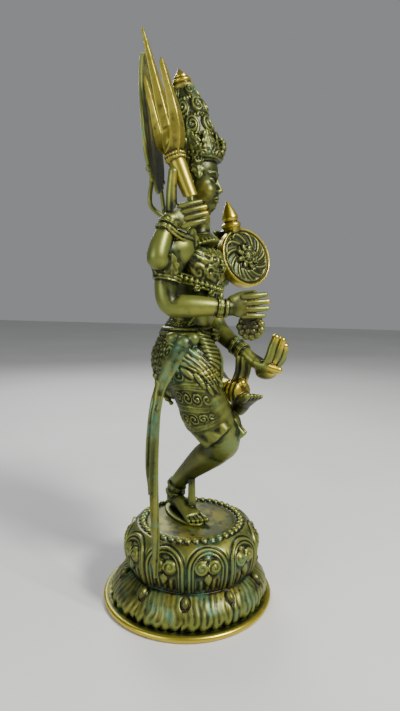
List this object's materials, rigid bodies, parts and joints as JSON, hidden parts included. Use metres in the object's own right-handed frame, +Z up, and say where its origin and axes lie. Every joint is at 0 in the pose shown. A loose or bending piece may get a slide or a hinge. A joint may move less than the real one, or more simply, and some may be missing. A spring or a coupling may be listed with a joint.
{
  "type": "dancing shiva figure on a lotus pedestal",
  "caption": "Cast bronze dancing figure with several arms, a tall crown and a trident, on a round lotus pedestal.",
  "frame": {"origin": "middle of the pedestal's round underside", "axes": "+Z up, the figure faces -Y, its left side is +X"},
  "size_m": [0.115, 0.1215, 0.3584],
  "materials": {
    "pedestal_bronze": "aged bronze with olive and green patina, rubbed bright along the foot's rim",
    "figure_bronze": "aged bronze, dark olive in the hollows, with verdigris and worn bright high points",
    "rubbed_brass": "rubbed golden bronze, darker in the hollows"
  },
  "bodies": {
    "root": {"lotus_pedestal": "pedestal_bronze", "shiva_figure": "figure_bronze", "trident": "rubbed_brass"}
  },
  "joints": []
}
